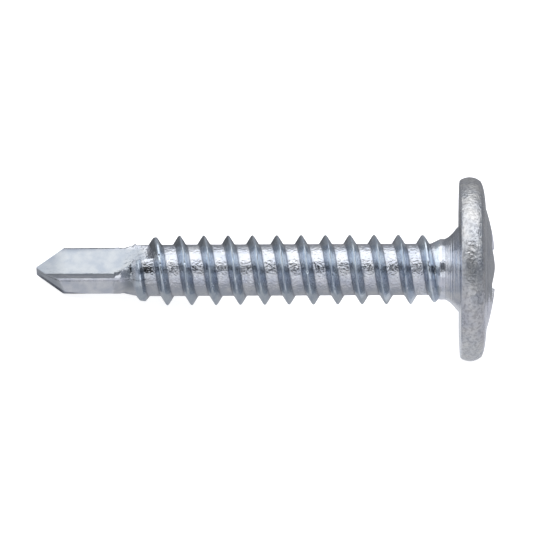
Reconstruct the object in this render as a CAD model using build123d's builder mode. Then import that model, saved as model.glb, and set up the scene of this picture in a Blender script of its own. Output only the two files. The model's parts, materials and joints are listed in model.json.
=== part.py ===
from build123d import *
import os
from math import acos, atan, atan2, cos, degrees, radians, sin, sqrt, tan

# Self-drilling screw 4.2 x 25 with a wide wafer head, one forged and rolled piece of steel.
# Millimetres. The screw is drawn upright first: its axis is Z, the bearing face under the
# head is at z = 0, the head stands above it and the shank hangs below, down to the point.
# It is then laid on its side, on the head's rim, the thread and the corner of the point.

# Shank and thread
shank_length = 24.39
core_radius = 1.485
crest_radius = 2.035
pitch = 1.40
ridge_foot = 0.68
ridge_bury = 0.13
ridge_lengths = 3
lap_turns = 0.03
lap_fuller = 0.003
shoulder_radius = 1.75
shoulder_end = -1.12
shoulder_slope = 0.55

# Where the ridge grows out of the core by the point and where it dies by the head
thread_start = -19.275
thread_turns = 13
fade_in_end = -16.90
fade_in_length = 2.30
fade_in_middle = -18.05
fade_in_middle_radius = 1.77
fade_out_start = -2.60
fade_out_length = 0.40
fade_out_radius = 1.90
fade_over = 0.005
fade_under = 0.02
thread_end = -0.98
crest_rest = -16.77
core_join_low = -17.00
core_join_high = -0.50

# Head: flat wafer with a low dome, a round rim and a hollow round under it
head_radius = 5.305
rim_radius = 1.00
rim_height = 0.58
rim_top_height = 1.23
flange_height = 1.53
flange_bend_in = 0.645
flange_bend_drop = 0.095
dome_base = 3.45
dome_step = 0.06
dome_height = 2.075
under_width = 0.79
under_depth = 0.86
under_bend_out = 0.31
under_bend_down = 0.43

# Cross recess, size 2
recess_turn = 39.0
wing_span = 4.50
wing_width = 1.50
wing_slope = 26.5
wing_side_slope = 5.0
recess_depth = 2.25
recess_corner = 0.16
recess_spare = 0.02
pit_radius = 0.62
pit_tip_radius = 0.05
pit_depth = 0.35
pit_lap = 0.10

# Forged point: a pinched round, two straight flutes and two relief facets
point_long = 1.70
point_short = 1.37
point_turn = 12.0
point_end = -19.55
point_fade = 0.62
point_root = 0.50
point_root_radius = 1.30
core_end = -18.70
corner_across = -1.62
corner_up = -0.50
web_across = -0.95
web_up = -0.25
floor_across = 0.85
floor_up = 1.80
floor_radius = 4.0
floor_round = 0.25
relief_slope = 48.4
relief_turn = 62.6
heel_across = 0.68
heel_up = 1.28
tip_spare = 0.6

# The flute leaves the shank in three ever flatter steps: height, outward shift
leave_direction = 136.5
leave_heights = (-19.90, -19.46, -18.66, -17.20)
leave_shifts = (0.0, 0.46, 0.94, 1.30)

tip = -shank_length
ridge_height = crest_radius - core_radius
flank = ridge_foot / 2 / ridge_height
buried_half = ridge_foot / 2 + flank * ridge_bury

# Corners of the head's profile, as distance from the axis and height
rim_middle = head_radius - rim_radius
rim_top = (rim_middle + sqrt(rim_radius**2 - (rim_top_height - rim_height) ** 2), rim_top_height)
rim_foot = (rim_middle + sqrt(rim_radius**2 - rim_height**2), 0)
dome_edge = (dome_base, flange_height + dome_step / 4)
flange_edge = (dome_base + dome_step, flange_height)
flange_bend = (rim_top[0] - flange_bend_in, flange_height - flange_bend_drop)
under_edge = (shoulder_radius + under_width, 0)
under_bend = (shoulder_radius + under_bend_out, -under_bend_down)
under_foot = (shoulder_radius, -under_depth)

# Head, shoulder and core turned in one profile
dome_rise = dome_height - dome_edge[1]
dome_radius = (dome_rise**2 + dome_base**2) / (2 * dome_rise)
dome_middle = dome_height - dome_radius + sqrt(dome_radius**2 - (dome_base / 2) ** 2)
core_foot = (point_root_radius, point_end - point_root)
with BuildPart() as blank:
    with BuildSketch(Plane.XZ):
        with BuildLine():
            Line((0, core_foot[1]), (0, dome_height))
            ThreePointArc(
                (0, dome_height),
                (dome_base / 2, dome_middle),
                dome_edge,
            )
            Line(dome_edge, flange_edge)
            Line(flange_edge, flange_bend)
            Line(flange_bend, rim_top)
            ThreePointArc(rim_top, (head_radius, rim_height), rim_foot)
            Line(rim_foot, under_edge)
            Line(under_edge, under_bend)
            Line(under_bend, under_foot)
            Line(under_foot, (shoulder_radius, shoulder_end))
            Line((shoulder_radius, shoulder_end), (core_radius, shoulder_end - shoulder_slope))
            Line((core_radius, shoulder_end - shoulder_slope), (core_radius, core_end))
            Line((core_radius, core_end), core_foot)
            Line(core_foot, (0, core_foot[1]))
        make_face()
    revolve(axis=Axis.Z)

# One flute as a solid: near-radial cutting wall, hollow floor, open side far out
flute_open = 2 * point_long
with BuildPart() as flute:
    heights = (tip - tip_spare,) + leave_heights
    shifts = (0.0,) + leave_shifts
    wall = (corner_across - web_across, corner_up - web_up)
    wall_out = (web_across + wall[0] * 4, web_up + wall[1] * 4)
    for height, shift in zip(heights, shifts):
        move = (shift * cos(radians(leave_direction)), shift * sin(radians(leave_direction)))
        with BuildSketch(Plane((move[0], move[1], height))):
            with BuildLine():
                Line(wall_out, (web_across, web_up))
                RadiusArc((web_across, web_up), (floor_across, floor_up), -floor_radius)
                Line((floor_across, floor_up), (floor_across, flute_open))
                Line((floor_across, flute_open), (wall_out[0], flute_open))
                Line((wall_out[0], flute_open), wall_out)
            make_face()
            corner = vertices().sort_by_distance((move[0] + web_across, move[1] + web_up, height))
            fillet(corner[0], floor_round)
    loft(ruled=True)

# Ridge of the thread, wound on the core and sunk a little into it. It is wound in lengths,
# each lapped over the one before by a hair and a hair fuller, so that no two skins coincide.
length_turns = thread_turns / ridge_lengths
with BuildPart() as ridge:
    for k in range(ridge_lengths):
        lap = lap_turns if k else 0
        fuller = lap_fuller * (k % 2)
        with BuildPart(mode=Mode.PRIVATE) as length:
            with BuildLine() as winding:
                Helix(pitch, pitch * (length_turns + lap), core_radius)
            with BuildSketch(Plane.XZ):
                with BuildLine():
                    Polyline(
                        (core_radius - ridge_bury, buried_half + fuller),
                        (core_radius - ridge_bury, -buried_half - fuller),
                        (crest_radius + fuller, 0),
                        close=True,
                    )
                make_face()
            sweep(path=winding.line, is_frenet=True)
        begin = length_turns * k - lap
        with Locations(Location((0, 0, thread_start + pitch * begin), (0, 0, 360 * begin))):
            add(length.part)
    # Round envelope that makes the ridge grow out of the core and die at the shoulder
    with BuildSketch(Plane.XZ):
        with BuildLine():
            Polyline(
                (0, fade_in_end - fade_in_length),
                (core_radius - fade_under, fade_in_end - fade_in_length),
                (fade_in_middle_radius, fade_in_middle),
                (crest_radius + fade_over, fade_in_end),
                (head_radius, fade_in_end + pitch),
                (head_radius, fade_out_start - pitch),
                (crest_radius + fade_over, fade_out_start),
                (fade_out_radius, thread_end - fade_out_length),
                (core_radius, thread_end),
                (0, thread_end),
                close=True,
            )
        make_face()
    revolve(axis=Axis.Z, mode=Mode.INTERSECT)
    with Locations((0, 0, core_join_low)):
        Cylinder(
            core_radius,
            core_join_high - core_join_low,
            align=(Align.CENTER, Align.CENTER, Align.MIN),
        )

# Cross recess: two crossed bars that narrow with depth, a square that clears the corners
# between them, and a pointed pit in the bottom
recess_top = dome_height + recess_spare
recess_low = dome_height - recess_depth
drop = recess_top - recess_low
shrink = drop * tan(radians(wing_slope))
narrow = drop * tan(radians(wing_side_slope))
corner_width = wing_width + recess_corner
with BuildPart() as recess:
    for turn, span, width, span_shrink in (
        (recess_turn, wing_span, wing_width, shrink),
        (recess_turn + 90, wing_span, wing_width, shrink),
        (recess_turn, corner_width, corner_width, narrow),
    ):
        with Locations(Location((0, 0, recess_top), (0, 0, turn))):
            Wedge(
                span,
                drop,
                width,
                span_shrink,
                narrow,
                span - span_shrink,
                width - narrow,
                rotation=(-90, 0, 0),
                align=(Align.CENTER, Align.MIN, Align.CENTER),
            )
    with Locations((0, 0, recess_low + pit_lap)):
        Cone(
            pit_radius,
            pit_tip_radius,
            pit_depth,
            rotation=(180, 0, 0),
            align=(Align.CENTER, Align.CENTER, Align.MIN),
        )

# Blank with the pinched point, both flutes, both relief facets, the ridge and the recess
with BuildPart() as body:
    add(blank.part)
    with BuildSketch(Plane.XY.offset(tip - tip_spare)):
        Ellipse(point_long, point_short, rotation=point_turn)
    extrude(amount=point_end - tip + tip_spare)
    with BuildSketch(Plane.XY.offset(point_end)):
        Ellipse(point_long, point_short, rotation=point_turn)
    extrude(amount=point_fade, taper=20)
    add(flute.part, mode=Mode.SUBTRACT)
    add(flute.part, rotation=(0, 0, 180), mode=Mode.SUBTRACT)
    steep = tan(radians(relief_slope))
    lean = (steep * cos(radians(relief_turn)), steep * sin(radians(relief_turn)))
    split(bisect_by=Plane((0, 0, tip), z_dir=(lean[0], lean[1], 1)), keep=Keep.TOP)
    split(bisect_by=Plane((0, 0, tip), z_dir=(-lean[0], -lean[1], 1)), keep=Keep.TOP)
    add(ridge.part)
    add(recess.part, mode=Mode.SUBTRACT)

# How it lies: on the head's rim and on the thread's first full crest, and rolled so that a
# flute faces the floor, midway between the rolls at which the flute's two corners touch it.
slope = (head_radius - crest_radius) / (rim_height - crest_rest)
rolls = []
for across, up, turn in (
    (-corner_across, -corner_up, 0),
    (heel_across, heel_up, 180),
):
    height = tip + lean[0] * across + lean[1] * up
    clearance = head_radius - slope * (rim_height - height)
    open_angle = degrees(acos(clearance / sqrt(across**2 + up**2)))
    own_angle = degrees(atan2(up, across))
    rolls.append(open_angle - own_angle if turn == 0 else turn - own_angle - open_angle)
roll = (rolls[0] + rolls[1]) / 2
lying = Rotation(0, 90 - degrees(atan(slope)), 0) * Rotation(0, 0, roll)

with BuildPart() as screw:
    box = body.part.moved(lying).bounding_box()
    down = Pos(-(box.min.X + box.max.X) / 2, -(box.min.Y + box.max.Y) / 2, -box.min.Z)
    with Locations(down * lying):
        add(body.part)
screw.part.label = "screw"

os.makedirs("parts", exist_ok=True)
export_step(screw.part, "parts/screw.step")
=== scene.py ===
import json
from math import asin, atan2, cos, pi, radians, sin, sqrt, tan

import bmesh
import bpy
import numpy as np
from mathutils import Matrix, Vector


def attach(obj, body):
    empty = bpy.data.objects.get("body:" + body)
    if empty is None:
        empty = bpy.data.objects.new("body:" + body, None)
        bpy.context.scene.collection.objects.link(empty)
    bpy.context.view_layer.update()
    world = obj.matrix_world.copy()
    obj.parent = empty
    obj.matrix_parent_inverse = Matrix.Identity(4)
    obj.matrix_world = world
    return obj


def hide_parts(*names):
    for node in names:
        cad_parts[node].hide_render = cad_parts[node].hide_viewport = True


bl_info = {
    "name": "Self-drilling Screw Finish",
    "version": (1, 0, 0),
    "blender": (4, 5, 0),
    "location": "View3D > Sidebar > Screw",
    "description": "Dresses a wafer-head self-drilling screw in bright zinc and lays it on a pale floor",
    "category": "Object",
}

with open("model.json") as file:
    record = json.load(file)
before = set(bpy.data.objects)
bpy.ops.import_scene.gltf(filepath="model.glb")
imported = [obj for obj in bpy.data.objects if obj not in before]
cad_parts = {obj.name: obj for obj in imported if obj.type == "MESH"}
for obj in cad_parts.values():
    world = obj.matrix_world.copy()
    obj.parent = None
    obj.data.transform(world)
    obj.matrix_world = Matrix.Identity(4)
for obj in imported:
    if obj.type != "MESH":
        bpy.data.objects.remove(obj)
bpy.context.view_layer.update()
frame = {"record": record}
MM = 0.001
SEED = 20417

# ---------------------------------------------------------------------------
# Sizes of the screw, in millimetres, on its own axes: z = 0 is the bearing
# face under the head, the head is above it and the point is the lowest part.
# ---------------------------------------------------------------------------

SHANK_LENGTH = 24.39
TIP = -SHANK_LENGTH
# How far the screw has turned about its axis as it lies, and a radius that nothing on it reaches.
ROLL = radians(54.70)
FAR = 9.0

# Core and thread; the tables give a height and the largest radius there.
CORE_RADIUS = 1.485
SHOULDER_RADIUS = 1.75
CREST_RADIUS = 2.035
CREST_ROUND = 0.045
CREST_BACK = 0.035
CREST_AT_ZERO = -19.275
PITCH = 1.40
RIDGE_FOOT = 0.64
RIDGE_BLEND = 0.025
RIDGE_TURNS = range(-2, 15)
RIDGE_STEPS = (0.03, 0.065, 0.11, 0.18, 0.28, 0.34, 0.39, 0.48, 0.60)
VALLEY_STEP = 0.70
CORE_LIMITS = ((-20.05, 1.30), (-18.70, CORE_RADIUS), (-1.67, CORE_RADIUS), (-1.12, SHOULDER_RADIUS))
RIDGE_LIMITS = (
    (-19.24, 0.30),
    (-19.20, 1.40),
    (-18.85, 1.46),
    (-18.62, 1.62),
    (-18.40, 1.77),
    (-18.05, 1.80),
    (-16.90, 2.06),
    (-2.60, 2.06),
    (-1.38, 1.90),
    (-0.98, 1.44),
    (-0.94, 0.30),
)

# Drill point: its pinched round, and a flute's wall from CORNER to WEB and floor from WEB to FLOOR_END.
POINT_LONG = 1.70
POINT_SHORT = 1.37
POINT_TURN = radians(12.0)
POINT_END = -19.55
POINT_FADE = 0.62
POINT_FADE_SLOPE = tan(radians(20.0))
CORNER = (-1.62, -0.56)
WEB = (-1.00, -0.40)
FLOOR_END = (0.85, 1.80)
FLOOR_RADIUS = 10.0
FLUTE_FILLET = 0.06
HEEL_TURN = radians(64.7)
HEEL_BLUNT = 0.12
EDGE_BLUNT = 0.10
RELIEF_STEEP = tan(radians(48.4))
RELIEF_TURN = radians(62.6)
CHISEL_ROUND = 0.03
CHISEL_BACK = 0.012

# How a flute leaves the shank: its floor moves out, and its wall sweeps round by the table's degrees.
LEAVE_TURN = radians(136.5)
LEAVE_START = -19.50
LEAVE_SLOPE = 0.45
LEAVE_EASE = 0.5
LEAVE_SWEEPS = ((-19.90, 0.0), (-19.46, 17.0), (-18.66, 36.0), (-17.60, 46.0), (-16.90, 60.0))
RIDGE_FREE = -17.9

# Levels at which the rings of the skin change their kind.
OUTLINE_HEIGHT = -22.0
POINT_RINGS_TOP = -22.5
SHANK_RINGS_START = -20.0
SHANK_RINGS_TOP = -0.86

# Head and cross recess; the profiles give a radius and a height.
HEAD_RADIUS = 5.305
RIM_RADIUS = 1.00
RIM_HEIGHT = 0.58
RIM_TOP_HEIGHT = 1.23
RIM_CORNER = 0.17
DOME_BASE = 3.45
DOME_EDGE_HEIGHT = 1.545
DOME_HEIGHT = 2.075
NECK_PROFILE = (
    (SHOULDER_RADIUS, SHANK_RINGS_TOP),
    (1.835, -0.70),
    (1.94, -0.56),
    (2.06, -0.43),
    (2.18, -0.325),
    (2.33, -0.21),
    (2.44, -0.10),
    (2.55, -0.015),
    (2.62, 0.0),
)
FLAT_RADII = (3.0, 4.9)
SLOPE_PROFILE = (
    (4.96, 1.283),
    (4.82, 1.34),
    (4.62, 1.395),
    (4.42, 1.437),
    (4.15, 1.472),
    (3.83, 1.503),
    (3.60, 1.524),
    (3.51, 1.530),
    (DOME_BASE, DOME_EDGE_HEIGHT),
)
RECESS_TURN = radians(39.0)
RECESS_DEPTH = 2.25
RECESS_CORNER = 0.16
RECESS_LIP = 0.05
RECESS_SHARES = (0.02, 0.05, 0.12, 0.25, 0.4, 0.55, 0.7, 0.85, 0.96, 1.0)
WING_SPAN = 4.50
WING_WIDTH = 1.50
WING_SLOPE = tan(radians(26.5))
WING_SIDE_SLOPE = tan(radians(5.0))
PIT_RADIUS = 0.62
PIT_EDGE = 1.3
PIT_DEPTH = 0.25

# Small faults. Waves have a wavelength, a number and a seed; layers of them also have a depth.
RAGGED_LAYERS = ((0.9, 12, SEED, 0.07), (0.35, 12, SEED + 1, 0.07))
SKIN_LAYERS = ((1.6, 16, SEED + 4, 0.004), (0.4, 20, SEED + 5, 0.0025))
NICK_WAVES = (0.8, 16, SEED + 2)
FINE_NICK_WAVES = (0.3, 16, SEED + 3)
NICK_DEPTH = 0.10
BURR_WAVES = (0.30, 14, SEED + 6)
BURR_HEIGHT = 0.15
HEAD_SKIN_BACK = 0.006
# A knock has a turn, a height, a size along and one round the screw, and a depth.
KNOCKS = (
    (radians(128.6), -18.23, 0.11, 0.04, 0.05),
    (radians(223.7), -21.40, 0.06, 0.06, 0.05),
    (radians(120.0), -21.90, 0.05, 0.05, 0.03),
    (radians(205.0), -17.85, 0.07, 0.08, 0.04),
)

# ---------------------------------------------------------------------------
# Stage. An angle is up from the line of sight and a side is round towards
# the head, both in degrees; lengths are in metres and power is in watts.
# ---------------------------------------------------------------------------

# Name, angle, side, distance, width, height, power
LAMPS = (
    ("key_softbox", 66, 0, 0.5, 1.15, 0.73, 3.32),
    ("low_fill", -22, 0, 0.5, 0.6, 0.21, 0.35),
    ("point_side_softbox", 30, -50, 0.5, 0.25, 0.25, 0.15),
    ("head_side_softbox", 30, 50, 0.5, 0.25, 0.25, 0.10),
)
# Name, angle, side, distance, width, height, glow
HUNG_CARDS = (
    ("lens_flag", 7, 0, 0.72, 0.6, 0.47, 0.01),
    ("back_card", 128, 0, 0.6, 1.2, 0.485, 0.42),
    ("side_card", 10, -86, 0.5, 0.2, 0.6, 0.90),
)
FLOOR_WIDTH = 6.0
FLOOR_CARD_LIFT = 0.0005
FLAG_STRIP = 0.008
FLAG_REACH = 0.2
SENSOR_WIDTH = 36.0


# ---------------------------------------------------------------------------
# Small functions that the shapes and the finish share
# ---------------------------------------------------------------------------

def rise(value, start, width):
    """0 up to start, then a straight climb to 1 over width."""
    return np.clip((value - start) / width, 0, 1)


def fall(value, end, width):
    """1, then a straight drop over width to 0 at end."""
    return np.clip((end - value) / width, 0, 1)


def bell(value, middle, width):
    """1 at middle, falling as e to minus the square of the distance from it over width."""
    return np.exp(-(((value - middle) / width) ** 2))


def soft_max(a, b, width):
    """The larger of a and b with its corner rounded: the mean plus half the root of gap and width squared."""
    return (a + b + np.sqrt((a - b) ** 2 + width**2)) / 2


def soft_min(a, b, width):
    """The smaller of a and b with its corner rounded: the mean less that half root of soft_max."""
    return (a + b - np.sqrt((a - b) ** 2 + width**2)) / 2


def from_table(height, table):
    """Value at a height, on straight lines between a table's pairs of height and value."""
    heights, values = zip(*table)
    return np.interp(height, heights, values)


def cartesian(turn, radius, height):
    """Points on the screw's own axes: the radius times the turn's cosine and sine, and the height."""
    return np.stack([radius * np.cos(turn), radius * np.sin(turn), height], axis=-1)


def waves(points, size, count, seed):
    """Smooth seeded noise from about -1 to 1: a mean of sines along random directions, with wavelengths
    near size."""
    rng = np.random.default_rng(seed)
    aim = rng.normal(size=(count, 3))
    aim /= np.linalg.norm(aim, axis=1)[:, None]
    aim *= (2 * pi / size) * rng.uniform(0.6, 1.6, count)[:, None]
    phase = rng.uniform(0, 2 * pi, count)
    return np.sin(points @ aim.T + phase).sum(axis=-1) / sqrt(count) / 1.4


def layered(points, layers):
    """Waves of several sizes, each times its depth, added up."""
    return sum(waves(points, size, count, seed) * depth for size, count, seed, depth in layers)


# ---------------------------------------------------------------------------
# Shapes as functions of the turn round the axis and the height along it
# ---------------------------------------------------------------------------

def pinched_round(turn):
    """Distance from the axis to an ellipse of half axes POINT_LONG and POINT_SHORT: their product over the
    root of the squares of each one times the other's cosine or sine."""
    c = np.cos(turn - POINT_TURN)
    s = np.sin(turn - POINT_TURN)
    return POINT_LONG * POINT_SHORT / np.sqrt((POINT_SHORT * c) ** 2 + (POINT_LONG * s) ** 2)


def floor_centre():
    """Centre of the circle that a flute's floor lies on: FLOOR_RADIUS from both of the floor's ends."""
    chord = np.subtract(FLOOR_END, WEB)
    half = np.hypot(*chord) / 2
    out = np.array([-chord[1], chord[0]]) / (2 * half)
    return np.add(WEB, FLOOR_END) / 2 + out * sqrt(FLOOR_RADIUS**2 - half**2)


def floor_reach(turn, shift):
    """Distance from the axis to the near side of the floor's circle, once it has moved out by shift along
    LEAVE_TURN: how far along the ray its centre lies, less the root of that squared less what the centre's
    distance squared has over the radius squared."""
    centre = floor_centre()
    cx = centre[0] + shift * cos(LEAVE_TURN)
    cy = centre[1] + shift * sin(LEAVE_TURN)
    along = cx * np.cos(turn) + cy * np.sin(turn)
    under = along**2 - (cx**2 + cy**2 - FLOOR_RADIUS**2)
    meets = (under > 0) & (along > 0)
    return np.where(meets, along - np.sqrt(np.maximum(under, 0)), FAR)


def wall_reach(turn, sweep):
    """Distance from the axis to the line through CORNER and WEB, swept round: where the line crosses the
    axis, over the turn's sine less the line's slope times its cosine."""
    slope = (CORNER[1] - WEB[1]) / (CORNER[0] - WEB[0])
    facing = np.sin(turn + sweep) - slope * np.cos(turn + sweep)
    least = 0.002
    return np.where(facing > least, (WEB[1] - slope * WEB[0]) / np.maximum(facing, least), FAR)


def flutes_reach(turn, height, sweep):
    """Distance from the axis to the nearer of the two flutes, half a turn apart. Each is the larger of its
    floor and its wall, and past LEAVE_START its floor moves out by a slope that starts gently."""
    past = height - LEAVE_START
    shift = LEAVE_SLOPE * (past + np.sqrt(past**2 + LEAVE_EASE**2)) / 2
    first = np.mod(turn, 2 * pi)
    second = np.mod(turn + pi, 2 * pi)
    return np.minimum(
        soft_max(floor_reach(first, shift), wall_reach(first, sweep), FLUTE_FILLET),
        soft_max(floor_reach(second, shift), wall_reach(second, sweep), FLUTE_FILLET),
    )


def stock_radius(turn, height):
    """Radius before the flutes: the larger of the core's straight and tapering lines and the point's pinched
    round, which fades at a slope above POINT_END."""
    fade = np.clip(height - POINT_END, 0, None) * POINT_FADE_SLOPE
    fade = np.where(height > POINT_END + POINT_FADE, FAR, fade)
    return soft_max(from_table(height, CORE_LIMITS), pinched_round(turn) - fade, 0.03)


def from_crest(turn, height):
    """Distance along the axis from the nearest crest of the thread, which climbs by PITCH each turn."""
    crest = CREST_AT_ZERO + PITCH * turn / (2 * pi)
    return np.mod(height - crest + PITCH / 2, PITCH) - PITCH / 2


def ridge_radius(turn, height):
    """Radius of the thread's ridge: CREST_RADIUS less the distance from the nearest crest, rounded near zero,
    over the flank's slope, held under the limit at which the ridge fades in and out."""
    flank = RIDGE_FOOT / 2 / (CREST_RADIUS - CORE_RADIUS)
    away = np.sqrt(from_crest(turn, height) ** 2 + CREST_ROUND**2) - CREST_BACK
    return soft_min(CREST_RADIUS - away / flank, from_table(height, RIDGE_LIMITS), 0.05)


def shank_radius(turn, height):
    """Radius of the whole shank: the smaller of the stock and the flutes, then the larger of that and the
    ridge, which the flutes also cut until they leave it. Where a flute runs out, waves make its wall ragged,
    and small burrs stand along the edge where flute and stock meet."""
    start, end = LEAVE_SWEEPS[0][0], LEAVE_SWEEPS[-1][0]
    running_out = rise(height, start, 0.4) * fall(height, end, 0.8)
    place = cartesian(turn, 1.0, height)
    sweep = np.radians(from_table(height, LEAVE_SWEEPS)) + layered(place, RAGGED_LAYERS) * running_out
    flutes = flutes_reach(turn, height, sweep)
    stock = stock_radius(turn, height)
    burr = bell(flutes - stock, 0, 0.18) * running_out * rise(np.mod(turn - HEEL_TURN, pi), 1.0, 0.3)
    burr = burr * rise(waves(place, *BURR_WAVES), -0.25, 1.0) * BURR_HEIGHT
    blunt = EDGE_BLUNT + HEEL_BLUNT * bell(np.mod(turn, pi), HEEL_TURN, 0.2)
    cut = soft_min(stock, flutes, blunt) + burr
    leaving = rise(height, RIDGE_FREE, 0.6) * 0.9
    ridge = soft_min(ridge_radius(turn, height), flutes + leaving, 0.05)
    return soft_max(cut, ridge, RIDGE_BLEND)


def relief_height(turn, radius):
    """Height of the two relief facets: the tip plus the distance from the chisel edge times their slope."""
    off = RELIEF_STEEP * radius * np.cos(turn - RELIEF_TURN)
    return TIP + np.sqrt(off**2 + CHISEL_ROUND**2) - CHISEL_BACK


def cross_reach(turn, deep):
    """Distance from the axis to the edge of the cross recess at a depth: the largest of two crossed bars and
    the square that clears their inner corners, all of which shrink with depth."""
    c = np.maximum(np.abs(np.cos(turn - RECESS_TURN)), 1e-6)
    s = np.maximum(np.abs(np.sin(turn - RECESS_TURN)), 1e-6)
    span = WING_SPAN / 2 - deep * WING_SLOPE
    width = WING_WIDTH / 2 - deep * WING_SIDE_SLOPE
    square = width + RECESS_CORNER / 2
    bars = np.maximum(np.minimum(span / c, width / s), np.minimum(width / c, span / s))
    return np.maximum(bars, np.minimum(square / c, square / s))


def dome_surface(radius):
    """Height of the dome over the bearing face at a radius: a ball's cap from DOME_BASE up to DOME_HEIGHT.
    The ball's radius is the cap's height squared plus its base squared, over twice the height."""
    cap = DOME_HEIGHT - DOME_EDGE_HEIGHT
    ball = (cap**2 + DOME_BASE**2) / (2 * cap)
    return DOME_HEIGHT - ball + np.sqrt(ball**2 - np.minimum(radius, DOME_BASE) ** 2)


# ---------------------------------------------------------------------------
# The skin as rings: each is a turn, a radius and a height for every column
# ---------------------------------------------------------------------------

def columns():
    """Two sets of turns, from one flute's corner once round and back to it: even ones, and ones that crowd on
    the flutes' walls and meet each corner of the point. Between two corners the turn is the first plus a
    share of the gap, which grows evenly, as a half cosine or as a power."""
    corner = atan2(-CORNER[1], -CORNER[0])
    web = atan2(-WEB[1], -WEB[0])
    chisel = RELIEF_TURN + pi / 2
    stretches = (
        (corner, HEEL_TURN, (1 - np.cos(pi * np.arange(22) / 22)) / 2),
        (HEEL_TURN, chisel, (np.arange(42) / 42) ** 1.5),
        (chisel, web + pi, np.arange(28) / 28),
        (web + pi, corner + pi, np.arange(20) / 20),
    )
    half = np.concatenate([start + (end - start) * share for start, end, share in stretches])
    crowded = np.concatenate([half, half + pi, [corner + 2 * pi]])
    return np.linspace(corner, corner + 2 * pi, len(crowded)), crowded


def point_rings(crowded):
    """The drill point: its outline scaled up from the tip over the relief facets, then carried from the
    facets' edge to one level, then level rings up the flutes."""
    outline = shank_radius(crowded, np.full_like(crowded, OUTLINE_HEIGHT))
    edge = relief_height(crowded, outline)
    for share in np.linspace(0, 1, 15)[:-1]:
        yield crowded, outline * share, relief_height(crowded, outline * share)
    for share in np.linspace(0, 1, 13):
        yield crowded, outline, edge + share * (POINT_RINGS_TOP - edge)
    for level in np.linspace(POINT_RINGS_TOP, SHANK_RINGS_START, 20)[1:]:
        height = np.full_like(crowded, level)
        yield crowded, shank_radius(crowded, height), height


def shank_rings(even, crowded):
    """The shank: rings that climb by PITCH a turn with the thread, close together at its crest and feet, and
    held between the shank's two ends. Their columns change from crowded to even ones above the flutes."""
    steps = (*(-step for step in reversed(RIDGE_STEPS)), 0.0, *RIDGE_STEPS, VALLEY_STEP)
    for number in RIDGE_TURNS:
        for step in steps:
            nominal = CREST_AT_ZERO + PITCH * number + step
            turn = even + (crowded - even) * fall(nominal, -17.0, 1.8)
            height = np.clip(nominal + PITCH * turn / (2 * pi), SHANK_RINGS_START, SHANK_RINGS_TOP)
            yield turn, shank_radius(turn, height), height


def arc(middle, size, turns):
    """Radius and height of points on a circle: its middle plus its size times each cosine and sine."""
    return [(middle[0] + size * cos(turn), middle[1] + size * sin(turn)) for turn in turns]


def head_rings(even):
    """The head from its neck to the dome's edge: its profile, turned round the axis. The rim's small corner
    and its large arc meet where the line through their middles cuts both."""
    middle = HEAD_RADIUS - RIM_RADIUS
    off = sqrt((RIM_RADIUS - RIM_CORNER) ** 2 - (RIM_HEIGHT - RIM_CORNER) ** 2)
    first = -atan2(RIM_HEIGHT - RIM_CORNER, off)
    last = asin((RIM_TOP_HEIGHT - RIM_HEIGHT) / RIM_RADIUS)
    profile = [
        *NECK_PROFILE,
        *((radius, 0.0) for radius in np.linspace(*FLAT_RADII, 5)),
        *arc((middle + off, RIM_CORNER), RIM_CORNER, np.linspace(-pi / 2, first, 6)),
        *arc((middle, RIM_HEIGHT), RIM_RADIUS, np.linspace(first, last, 19)[1:]),
        *SLOPE_PROFILE,
    ]
    for radius, height in profile:
        yield even, np.full_like(even, radius), np.full_like(even, height)


def recess_rings(even):
    """The dome and the recess: rings that change from the dome's circle to the cross, go down its sides from
    a rounded lip to a level bottom, and shrink to the middle over the pit's cone."""
    mouth = cross_reach(even, 0.0) + RECESS_LIP
    for share in np.linspace(0, 1, 13)[1:]:
        radius = DOME_BASE + (mouth - DOME_BASE) * share
        yield even, radius, dome_surface(radius)
    lip = dome_surface(mouth)
    bottom = DOME_HEIGHT - RECESS_DEPTH
    for share in RECESS_SHARES:
        height = lip + (bottom - lip) * share
        rounding = RECESS_LIP * max(0, 1 - share / RECESS_LIP) ** 2
        yield even, cross_reach(even, DOME_HEIGHT - height) + rounding, height
    for share in np.linspace(1, 0, 9)[1:]:
        radius = cross_reach(even, RECESS_DEPTH) * share
        yield even, radius, bottom - PIT_DEPTH * np.clip(PIT_EDGE - radius / PIT_RADIUS, 0, 1)


def screw_grid():
    """The screw's whole skin from the tip to the bottom of the recess: turn, radius and height for every ring
    and column. Rings that are held at the shank's ends fall on each other and are merged later."""
    even, crowded = columns()
    rings = [*point_rings(crowded), *shank_rings(even, crowded), *head_rings(even), *recess_rings(even)]
    return [np.stack(part) for part in zip(*rings)]


def knocks(turn, height):
    """Depth of the few dents: for each, its depth times a bell of the way round and one of that along."""
    depth = np.zeros_like(height)
    for at_turn, at_height, long, broad, deep in KNOCKS:
        around = np.mod(turn - at_turn + pi, 2 * pi) - pi
        depth += deep * bell(around, 0, broad) * bell(height, at_height, long)
    return depth


def worn(turn, radius, height):
    """Radius with small real faults: shallow waves all over, less the nicks on the crests, which are where
    two sets of waves are both strong, and less the knocks on the shank."""
    place = cartesian(turn, radius, height)
    skin = layered(place, SKIN_LAYERS) - HEAD_SKIN_BACK * (height > SHANK_RINGS_TOP)
    nick = np.clip(waves(place, *NICK_WAVES) * waves(place, *FINE_NICK_WAVES) - 0.25, 0, 1)
    crest = rise(radius, 1.85, 0.15) * (height < -1.2) * (height > -19.0)
    shank = (height < -1.2) & (radius > 1.1)
    return radius + skin * (radius > 0.9) - crest * nick * NICK_DEPTH - knocks(turn, height) * shank


# ---------------------------------------------------------------------------
# Masks that the zinc reads, each from 0 to 1
# ---------------------------------------------------------------------------

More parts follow.
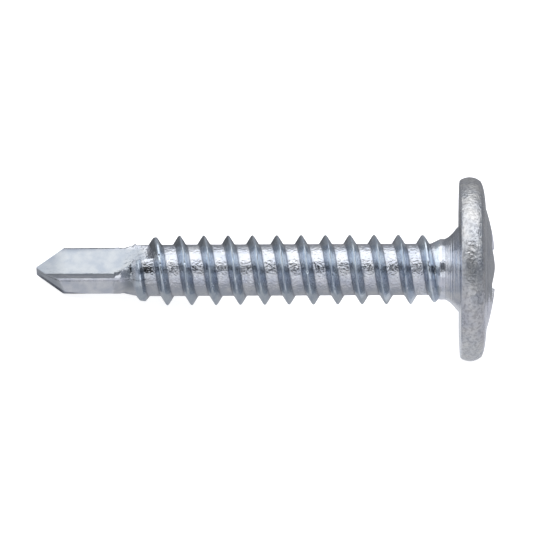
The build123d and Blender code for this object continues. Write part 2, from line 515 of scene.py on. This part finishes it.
def head_masks(turn, radius, height):
    """The rim; the marks of turning, at the neck and on the dome's edge; and painted shade on one side of the
    neck, with a painted dark reflection of the lens on the rim."""
    rim = rise(radius, 4.6, 0.4) * rise(height, 0.02, 0.08)
    neck = rise(height, -1.1, 0.2) * fall(height, 0.05, 0.05)
    dome = rise(height, 1.3, 0.1) * rise(radius, 2.5, 0.2)
    turned = np.clip(neck + dome * 0.5, 0, 1)
    # Painted shade on one side of the neck's fillet.
    shaded = neck * fall(np.abs(turn - radians(105.0)), 0.78, 0.6) * rise(radius, 1.4, 0.4)
    # A painted dark reflection of the lens, blurred, on the rim.
    painted_lens_reflection = bell(turn, radians(182.5), 0.13) * bell(height, 0.65, 0.35) * rim
    return rim, turned, shaded + painted_lens_reflection * 0.9


def thread_masks(turn, radius, height):
    """The rolled core between the turns, the thread's flanks, and a painted shade line in the crease at the
    feet of its ridge.
    """
    rolled = fall(radius, 1.62, 0.08) * rise(height, -19.3, 0.5) * fall(height, -0.9, 0.3)
    flank = rise(radius, 1.55, 0.08) * rise(height, -18.8, 0.2) * (height < -1.2)
    # Painted shade line in the crease at the foot of each ridge.
    crease_shade = bell(np.abs(from_crest(turn, height)), RIDGE_FOOT / 2 + 0.01, 0.05)
    return rolled, flank, crease_shade * rise(height, -18.6, 0.4) * fall(height, -1.1, 0.3)


def point_masks(turn, radius, height):
    """The flutes, where the skin lies inside the point's round, and a painted shade line that runs along
    their heels.
    """
    hollow = rise(pinched_round(turn) - radius, 0.03, 0.15) * fall(height, -17.4, 1.0)
    # Painted shade line along the heel of each flute.
    heel_shade = bell(np.mod(turn, pi) - HEEL_TURN, 0.02, 0.055) * fall(height, -18.9, 0.6) * (radius > 1.0)
    return hollow, heel_shade


def masks(turn, radius, height):
    """What the zinc reads at each vertex: the height along the axis, the rim, the forged flutes, how strong
    the grain is, the flanks, the marks of turning, the broad painted shade and the painted shade lines."""
    rim, turned, shaded = head_masks(turn, radius, height)
    rolled, flank, crease_shade = thread_masks(turn, radius, height)
    hollow, heel_shade = point_masks(turn, radius, height)
    # The flute floors darker towards the tip.
    tip = hollow * fall(height, -22.6, 0.8)
    return {
        "along": height,
        "rim": rim,
        "forged": hollow,
        "rough": 0.18 + 0.82 * rolled * (1 - hollow) + 0.65 * rim + 0.09 * hollow,
        "flank": flank,
        "turned": turned,
        # Painted shade: one side of the neck, the rim's painted lens reflection, a little on the rolled core
        # between the turns where the ridges hide the light, and along the flutes' heels; also the flute
        # floors darker towards the tip.
        "shade": np.clip(shaded + rolled * 0.1 + tip * 0.55 + heel_shade * 0.8, 0, 1),
        # Painted shade lines at the thread's feet and along the flutes' heels.
        "shade_lines": np.clip(crease_shade + heel_shade * 1.4, 0, 1),
    }


# ---------------------------------------------------------------------------
# Mesh
# ---------------------------------------------------------------------------

def axes():
    """The screw's axes as it lies, from its drill point's mount: inward, away from the viewer, at turn 0;
    upward at a quarter turn; lengthwise to the head; and the middle of the bearing face. The first two are
    the way down and the level way, each times the cosine or the sine of ROLL."""
    point = {mount["name"]: mount for mount in frame["record"]["mounts"]}["drill_point"]
    lengthwise = -Vector(point["axis"]).normalized()
    level = Vector((0, 1, 0))
    down = level.cross(lengthwise).normalized()
    inward = down * cos(ROLL) + level * sin(ROLL)
    upward = level * cos(ROLL) - down * sin(ROLL)
    return inward, upward, lengthwise, Vector(point["pos_m"]) + lengthwise * SHANK_LENGTH * MM


def placed(turn, radius, height):
    """Points in the row's frame, in metres: the screw's own axes, turned to how it lies and moved there."""
    inward, upward, lengthwise, start = axes()
    local = cartesian(turn, radius, height) * MM
    return local @ np.array([inward, upward, lengthwise]) + np.array(start)


def skin_mesh(name, turn, radius, height):
    """A mesh from rings, with the masks as attributes: each ring joins the next. A ring ends where it starts,
    or on the thread where the one a turn later starts, so that merging doubled points closes the skin."""
    rows, count = turn.shape
    points = placed(turn, worn(turn, radius, height), height).reshape(-1, 3)
    corner = np.arange(rows - 1)[:, None] * count + np.arange(count - 1)[None, :]
    quads = np.stack([corner, corner + 1, corner + count + 1, corner + count], axis=-1).reshape(-1, 4)
    mesh = bpy.data.meshes.new(name)
    mesh.from_pydata(points.tolist(), [], quads.tolist())
    for key, values in masks(turn, radius, height).items():
        layer = mesh.attributes.new(key, "FLOAT", "POINT")
        layer.data.foreach_set("value", values.reshape(-1).astype(np.float32))
    return mesh


def close_mesh(mesh, crisp):
    """Merges doubled points, drops empty faces, turns faces outward and marks edges sharper than crisp."""
    form = bmesh.new()
    form.from_mesh(mesh)
    bmesh.ops.remove_doubles(form, verts=form.verts, dist=2e-7)
    bmesh.ops.dissolve_degenerate(form, edges=form.edges, dist=1e-8)
    bmesh.ops.recalc_face_normals(form, faces=form.faces)
    open_edges = sum(edge.is_boundary for edge in form.edges)
    form.to_mesh(mesh)
    form.free()
    if open_edges:
        raise RuntimeError(f"The screw's skin is open at {open_edges} edges")
    mesh.shade_smooth()
    mesh.set_sharp_from_angle(angle=crisp)


# ---------------------------------------------------------------------------
# Materials
# ---------------------------------------------------------------------------

def node(tree, kind, **values):
    """Adds one node; names that are sockets set their default, others set the node's own property. Of several
    sockets with one name, the first is set."""
    made = tree.nodes.new(kind)
    sockets = {socket.name.lower(): socket for socket in reversed(list(made.inputs))}
    for key, value in values.items():
        spot = key.replace("_", " ")
        if spot in sockets:
            sockets[spot].default_value = value
        else:
            setattr(made, key, value)
    return made


def feed(tree, made, sources):
    """Links each source to an input of a node, by name or number, and gives the node back."""
    for key, source in sources.items():
        tree.links.new(source, made.inputs[key])
    return made


def attribute(tree, name):
    """The value of one of the mesh's masks."""
    return node(tree, "ShaderNodeAttribute", attribute_name=name).outputs["Fac"]


def spread(tree, source, low, high, out_low=0.0, out_high=1.0):
    """Maps a source from low and high to out_low and out_high, and holds it between them."""
    made = node(tree, "ShaderNodeMapRange", from_min=low, from_max=high, to_min=out_low, to_max=out_high)
    return feed(tree, made, {"Value": source}).outputs["Result"]


def blended(tree, way, factor, first, second):
    """Two colours mixed in a blend's way by a factor. The first may be a source, the second is a colour."""
    made = node(tree, "ShaderNodeMix", data_type="RGBA", blend_type=way)
    spots = {socket.identifier: socket for socket in (*made.inputs, *made.outputs)}
    spots["B_Color"].default_value = (*second, 1)
    tree.links.new(factor, spots["Factor_Float"])
    if isinstance(first, bpy.types.NodeSocket):
        tree.links.new(first, spots["A_Color"])
    else:
        spots["A_Color"].default_value = (*first, 1)
    return spots["Result_Color"]


def grain_group():
    """Node group: the height of a fine grain and a blotchy mask, from a position."""
    group = bpy.data.node_groups.new("metal_grain", "ShaderNodeTree")
    for name, way, kind in (
        ("Position", "INPUT", "NodeSocketVector"),
        ("Coarse Scale", "INPUT", "NodeSocketFloat"),
        ("Fine Scale", "INPUT", "NodeSocketFloat"),
        ("Height", "OUTPUT", "NodeSocketFloat"),
        ("Blotch", "OUTPUT", "NodeSocketFloat"),
    ):
        group.interface.new_socket(name, in_out=way, socket_type=kind)
    start = group.nodes.new("NodeGroupInput")
    end = group.nodes.new("NodeGroupOutput")
    coarse = node(group, "ShaderNodeTexNoise", detail=3.0, roughness=0.5)
    fine = node(group, "ShaderNodeTexNoise", detail=2.0, roughness=0.6)
    feed(group, coarse, {"Vector": start.outputs["Position"], "Scale": start.outputs["Coarse Scale"]})
    feed(group, fine, {"Vector": start.outputs["Position"], "Scale": start.outputs["Fine Scale"]})
    feed(group, end, {"Height": fine.outputs["Fac"], "Blotch": coarse.outputs["Fac"]})
    return group


def zinc_colour(tree, settings, cloth):
    """The plating's colour: cool and pale tints in blotches, darkened by each mask's tint in turn, some
    painted shade.
    """
    blotch = spread(tree, cloth.outputs["Blotch"], 0.36, 0.64)
    speck = spread(tree, cloth.outputs["Height"], 0.44, 0.62)
    specks = node(tree, "ShaderNodeMath", operation="MULTIPLY")
    feed(tree, specks, {0: speck, 1: attribute(tree, "rim")})
    colour = blended(tree, "MIX", blotch, settings.zinc_cool, settings.zinc_pale)
    for mask, darker in (
        (attribute(tree, "forged"), settings.forged_tint),
        # Painted bluish shade on the thread's flanks.
        (attribute(tree, "flank"), settings.flank_shade_tint),
        (attribute(tree, "rim"), settings.rim_tint),
        # Painted shade lines and the broad painted shade, both in the shade tint.
        (attribute(tree, "shade_lines"), settings.shade_tint),
        (attribute(tree, "shade"), settings.shade_tint),
        (specks.outputs[0], settings.speck_tint),
    ):
        colour = blended(tree, "MULTIPLY", mask, colour, darker)
    return colour


def zinc_roughness(tree, settings, cloth):
    """The plating's roughness: from bright to dull in blotches, and duller on the rim."""
    gloss = spread(tree, cloth.outputs["Blotch"], 0.3, 0.7, settings.bright, settings.dull)
    made = node(tree, "ShaderNodeMath", operation="MULTIPLY_ADD")
    made.inputs[1].default_value = settings.rim_dull
    return feed(tree, made, {0: attribute(tree, "rim"), 2: gloss}).outputs[0]


def zinc_relief(tree, settings, cloth):
    """The plating's fine relief: turned grooves round the axis, from noise along it, and the grain on top."""
    rings = node(tree, "ShaderNodeTexNoise", noise_dimensions="1D", detail=2.0, scale=9.0)
    feed(tree, rings, {"W": attribute(tree, "along")})
    grooves = node(tree, "ShaderNodeBump", distance=settings.groove_depth)
    feed(tree, grooves, {"Strength": attribute(tree, "turned"), "Height": rings.outputs["Fac"]})
    grain = node(tree, "ShaderNodeBump", distance=settings.grain_depth)
    feed(tree, grain, {"Strength": attribute(tree, "rough"), "Height": cloth.outputs["Height"]})
    return feed(tree, grain, {"Normal": grooves.outputs["Normal"]}).outputs["Normal"]


def zinc_material(settings, grain):
    """Bright zinc over rolled steel: a cool-tinted metal with blotchy roughness, grain and a dull rim."""
    made = bpy.data.materials.new("bright_zinc")
    made.use_nodes = True
    tree = made.node_tree
    shader = tree.nodes["Principled BSDF"]
    shader.inputs["Metallic"].default_value = 1.0
    cloth = node(tree, "ShaderNodeGroup", node_tree=grain)
    cloth.inputs["Coarse Scale"].default_value = settings.blotch_scale
    cloth.inputs["Fine Scale"].default_value = settings.grain_scale
    feed(tree, cloth, {"Position": node(tree, "ShaderNodeTexCoord").outputs["Object"]})
    feed(tree, shader, {"Base Color": zinc_colour(tree, settings, cloth)})
    feed(tree, shader, {"Roughness": zinc_roughness(tree, settings, cloth)})
    feed(tree, shader, {"Normal": zinc_relief(tree, settings, cloth)})
    return made


def plain_material(name, colour, roughness, light):
    """A dull material of one colour and its shader, with the colour of the light that it may give off."""
    made = bpy.data.materials.new(name)
    made.use_nodes = True
    shader = made.node_tree.nodes["Principled BSDF"]
    shader.inputs["Base Color"].default_value = (*colour, 1)
    shader.inputs["Roughness"].default_value = roughness
    shader.inputs["Specular IOR Level"].default_value = 0.0
    shader.inputs["Emission Color"].default_value = (*light, 1)
    return made, shader


def floor_material(settings):
    """Plain pale card that takes light and shadow like any card. Seen straight by the camera it also glows a
    little, so that it reads as white. What it reflects and throws back is that of the plain card."""
    made, shader = plain_material("pale_card", settings.floor_colour, 0.9, (1, 1, 1))
    tree = made.node_tree
    glow = node(tree, "ShaderNodeMath", operation="MULTIPLY")
    glow.inputs[1].default_value = settings.floor_glow
    feed(tree, glow, {0: node(tree, "ShaderNodeLightPath").outputs["Is Camera Ray"]})
    feed(tree, shader, {"Emission Strength": glow.outputs[0]})
    return made


def card_material(name, strength):
    """A card that gives off an even light of its own."""
    made, shader = plain_material(name, (0, 0, 0), 1.0, (0.93, 0.95, 1.0))
    shader.inputs["Emission Strength"].default_value = strength
    return made


# ---------------------------------------------------------------------------
# Stage
# ---------------------------------------------------------------------------

def flat_card(name, middle, out, over, width, height):
    """A rectangle that faces along out, with its height along over: its middle plus and less half of each."""
    side = over.cross(out).normalized() * width / 2
    tall = over.normalized() * height / 2
    corners = [middle - side - tall, middle + side - tall, middle + side + tall, middle - side + tall]
    mesh = bpy.data.meshes.new(name)
    mesh.from_pydata(corners, [], [(0, 1, 2, 3)])
    return bpy.data.objects.new(name, mesh)


def hang_card(scene, name, middle, out, over, width, height, strength):
    """A card that only reflections see."""
    card = flat_card(name, middle, out, over, width, height)
    card.data.materials.append(card_material(name, strength))
    scene.collection.objects.link(card)
    card.visible_camera = False
    card.visible_shadow = False
    card.visible_diffuse = False


def lay_floor(scene, settings):
    """The floor, on which the screw lies."""
    up, back = Vector((0, 0, 1)), Vector((0, 1, 0))
    floor = flat_card("floor", Vector((0, 0, 0)), up, back, FLOOR_WIDTH, FLOOR_WIDTH)
    floor.data.materials.append(floor_material(settings))
    scene.collection.objects.link(floor)


def light_world(scene, settings):
    """A weak even light from all round."""
    world = bpy.data.worlds.new("studio")
    scene.world = world
    world.use_nodes = True
    background = world.node_tree.nodes["Background"]
    background.inputs["Color"].default_value = (*settings.world_colour, 1)
    background.inputs["Strength"].default_value = settings.world_strength


def heading(angle, side):
    """The direction at an angle above the line of sight and turned to a side, and the way up across it: sums
    of the screw's axes times the cosines and sines."""
    inward, upward, lengthwise, _ = axes()
    level = upward * sin(radians(angle)) - inward * cos(radians(angle))
    over = upward * cos(radians(angle)) + inward * sin(radians(angle))
    return level * cos(radians(side)) + lengthwise * sin(radians(side)), over


def hang_lamps(scene, target):
    """The softboxes, each at its distance from the target and facing it."""
    for name, angle, side, away, width, height, power in LAMPS:
        facing, over = heading(angle, side)
        light = bpy.data.lights.new(name, "AREA")
        light.shape = "RECTANGLE"
        light.size = width
        light.size_y = height
        light.energy = power
        lamp = bpy.data.objects.new(name, light)
        turned = Matrix((over.cross(facing), over, facing)).transposed().to_4x4()
        lamp.matrix_world = Matrix.Translation(target + facing * away) @ turned
        scene.collection.objects.link(lamp)


def hang_cards(scene, settings, target):
    """The cards that the metal reflects: some hang round the target, and strips lie on the floor, dark behind
    the screw and pale under it."""
    for name, angle, side, away, width, height, strength in HUNG_CARDS:
        facing, over = heading(angle, side)
        hang_card(scene, name, target + facing * away, -facing, over, width, height, strength)
    up, back = Vector((0, 0, 1)), Vector((0, 1, 0))
    near = settings.flag_start
    strip = near + FLAG_STRIP
    # Name, left, right, front, rear, glow
    for name, left, right, front, rear, strength in (
        ("floor_flag", -0.15, 0.15, strip, FLAG_REACH, settings.flag_glow),
        ("near_flag", -0.03, 0.0105, near, strip, settings.flag_glow * 0.45),
        ("side_flag", 0.0105, 0.15, near, strip, settings.flag_glow),
        ("point_card", -0.023, -0.0085, -0.006, near, settings.card_glow * 1.3),
        ("shank_card", -0.0085, 0.0095, -0.006, near, settings.card_glow),
        ("head_card", 0.0095, 0.0150, -0.008, near, settings.card_glow * 1.6),
    ):
        middle = Vector(((left + right) / 2, (front + rear) / 2, FLOOR_CARD_LIFT))
        hang_card(scene, name, middle, up, back, right - left, rear - front, strength)


def place_camera(scene, settings, target):
    """The camera, square to the screw's axis and swayed a little about its line of sight."""
    inward, upward, lengthwise, _ = axes()
    camera = bpy.data.cameras.new("camera")
    camera.sensor_width = SENSOR_WIDTH
    camera.lens = SENSOR_WIDTH * settings.distance / settings.wide
    camera.clip_start = 0.01
    camera.clip_end = 20.0
    eye = bpy.data.objects.new("camera", camera)
    right = lengthwise * cos(settings.sway) - upward * sin(settings.sway)
    over = upward * cos(settings.sway) + lengthwise * sin(settings.sway)
    turned = Matrix((right, over, -inward)).transposed().to_4x4()
    eye.matrix_world = Matrix.Translation(target - inward * settings.distance) @ turned
    scene.collection.objects.link(eye)
    scene.camera = eye


# ---------------------------------------------------------------------------
# Settings, operators and panel
# ---------------------------------------------------------------------------

class ScrewSettings(bpy.types.PropertyGroup):
    """Finish of the screw."""

    zinc_cool: bpy.props.FloatVectorProperty(
        name="Cool zinc",
        description="Bluish tint of the plating",
        subtype="COLOR",
        default=(0.62, 0.65, 0.72),
    )
    zinc_pale: bpy.props.FloatVectorProperty(
        name="Pale zinc",
        description="Paler tint of the plating",
        subtype="COLOR",
        default=(0.78, 0.79, 0.82),
    )
    forged_tint: bpy.props.FloatVectorProperty(
        name="Forged tint",
        description="Darkens the floors of the flutes",
        subtype="COLOR",
        default=(0.62, 0.64, 0.64),
    )
    rim_tint: bpy.props.FloatVectorProperty(
        name="Rim tint",
        description="Greys the rim of the head",
        subtype="COLOR",
        default=(0.93, 0.91, 0.86),
    )
    # Painted bluish shade on the thread's flanks, standing in for the darker sides that they reflect.
    flank_shade_tint: bpy.props.FloatVectorProperty(
        name="Flank shade tint",
        description="Painted bluish shade on the thread's flanks",
        subtype="COLOR",
        default=(0.85, 0.91, 0.94),
    )
    speck_tint: bpy.props.FloatVectorProperty(
        name="Speck tint",
        description="Darkens fine specks on the rim",
        subtype="COLOR",
        default=(0.70, 0.70, 0.71),
    )
    # Colour of the painted shade: the shade lines at the thread's feet and the flutes' heels, and the broad
    # shade mask.
    shade_tint: bpy.props.FloatVectorProperty(
        name="Shade tint",
        description="Colour of the painted shade",
        subtype="COLOR",
        default=(0.55, 0.57, 0.60),
    )
    bright: bpy.props.FloatProperty(
        name="Bright", description="Roughness of the brightest blotches", subtype="FACTOR", default=0.12
    )
    dull: bpy.props.FloatProperty(
        name="Dull", description="Roughness of the dullest blotches", subtype="FACTOR", default=0.24
    )
    rim_dull: bpy.props.FloatProperty(
        name="Rim dull", description="Roughness added on the rim", subtype="FACTOR", default=0.14
    )
    blotch_scale: bpy.props.FloatProperty(
        name="Blotch scale", description="About how many blotches there are to a metre", default=1400.0
    )
    grain_scale: bpy.props.FloatProperty(
        name="Grain scale", description="About how many grains there are to a metre", default=6200.0
    )
    grain_depth: bpy.props.FloatProperty(
        name="Grain depth", description="Depth of the grain", unit="LENGTH", precision=6, default=0.000065
    )
    groove_depth: bpy.props.FloatProperty(
        name="Groove depth",
        description="Depth of the turned grooves",
        unit="LENGTH",
        precision=6,
        default=0.00008,
    )
    crisp: bpy.props.FloatProperty(
        name="Crisp angle",
        description="Edges sharper than this stay crisp",
        subtype="ANGLE",
        default=radians(38),
    )


class StageSettings(bpy.types.PropertyGroup):
    """Floor, light and camera."""

    floor_colour: bpy.props.FloatVectorProperty(
        name="Floor",
        description="Colour of the floor",
        subtype="COLOR",
        default=(0.70, 0.69, 0.72),
    )
    floor_glow: bpy.props.FloatProperty(
        name="Floor glow", description="How much the floor brightens where the camera sees it", default=0.85
    )
    world_colour: bpy.props.FloatVectorProperty(
        name="World",
        description="Colour of the even light from all round",
        subtype="COLOR",
        default=(0.78, 0.86, 1.0),
    )
    world_strength: bpy.props.FloatProperty(
        name="World strength", description="Strength of the even light from all round", default=0.30
    )
    flag_start: bpy.props.FloatProperty(
        name="Flag start",
        description="Where the dark card behind the screw begins",
        unit="LENGTH",
        default=0.004,
    )
    flag_glow: bpy.props.FloatProperty(
        name="Flag glow", description="Brightness of the dark card behind the screw", default=0.33
    )
    card_glow: bpy.props.FloatProperty(
        name="Card glow", description="Brightness of the pale card under the shank", default=0.46
    )
    distance: bpy.props.FloatProperty(
        name="Camera distance", description="From the camera to the screw", subtype="DISTANCE", default=0.6
    )
    wide: bpy.props.FloatProperty(
        name="Width in view", description="Width that the view covers", unit="LENGTH", default=0.03109
    )
    aim: bpy.props.FloatProperty(
        name="Aim",
        description="Place on the axis at the middle of the view, from the bearing face to the point",
        unit="LENGTH",
        default=0.01092,
    )
    sway: bpy.props.FloatProperty(
        name="Sway",
        description="Slight turn of the camera about its line of sight",
        subtype="ANGLE",
        default=radians(0.24),
    )


class SCREW_OT_dress(bpy.types.Operator):
    """Makes the finished screw and puts it in the plain solid's place"""

    bl_idname = "screw.dress"
    bl_label = "Dress the screw"

    def execute(self, context):
        settings = context.scene.screw_settings
        mesh = skin_mesh("screw_finished", *screw_grid())
        close_mesh(mesh, settings.crisp)
        piece = bpy.data.objects.new("screw_finished", mesh)
        context.scene.collection.objects.link(piece)
        mesh.materials.append(zinc_material(settings, grain_group()))
        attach(piece, "root")
        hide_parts("screw")
        return {"FINISHED"}


class SCREW_OT_stage(bpy.types.Operator):
    """Sets the floor, the lights, the world and the camera"""

    bl_idname = "screw.stage"
    bl_label = "Set the stage"

    def execute(self, context):
        scene = context.scene
        settings = scene.stage_settings
        _, _, lengthwise, start = axes()
        target = start - lengthwise * settings.aim
        scene.view_settings.view_transform = "Standard"
        lay_floor(scene, settings)
        light_world(scene, settings)
        hang_lamps(scene, target)
        hang_cards(scene, settings, target)
        place_camera(scene, settings, target)
        return {"FINISHED"}


class SCREW_PT_panel(bpy.types.Panel):
    """The screw's settings and steps"""

    bl_label = "Screw"
    bl_idname = "SCREW_PT_panel"
    bl_space_type = "VIEW_3D"
    bl_region_type = "UI"
    bl_category = "Screw"

    def draw(self, context):
        for settings in (context.scene.screw_settings, context.scene.stage_settings):
            for key in settings.__annotations__:
                self.layout.prop(settings, key)
        self.layout.operator(SCREW_OT_dress.bl_idname)
        self.layout.operator(SCREW_OT_stage.bl_idname)


CLASSES = (ScrewSettings, StageSettings, SCREW_OT_dress, SCREW_OT_stage, SCREW_PT_panel)


def register():
    """Adds the settings, the operators and the panel."""
    for each in CLASSES:
        bpy.utils.register_class(each)
    bpy.types.Scene.screw_settings = bpy.props.PointerProperty(type=ScrewSettings)
    bpy.types.Scene.stage_settings = bpy.props.PointerProperty(type=StageSettings)


def unregister():
    """Takes the settings, the operators and the panel away again."""
    del bpy.types.Scene.stage_settings
    del bpy.types.Scene.screw_settings
    for each in reversed(CLASSES):
        bpy.utils.unregister_class(each)


def main():
    """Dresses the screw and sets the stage."""
    register()
    bpy.ops.screw.dress()
    bpy.ops.screw.stage()


if __name__ == "__main__":
    main()
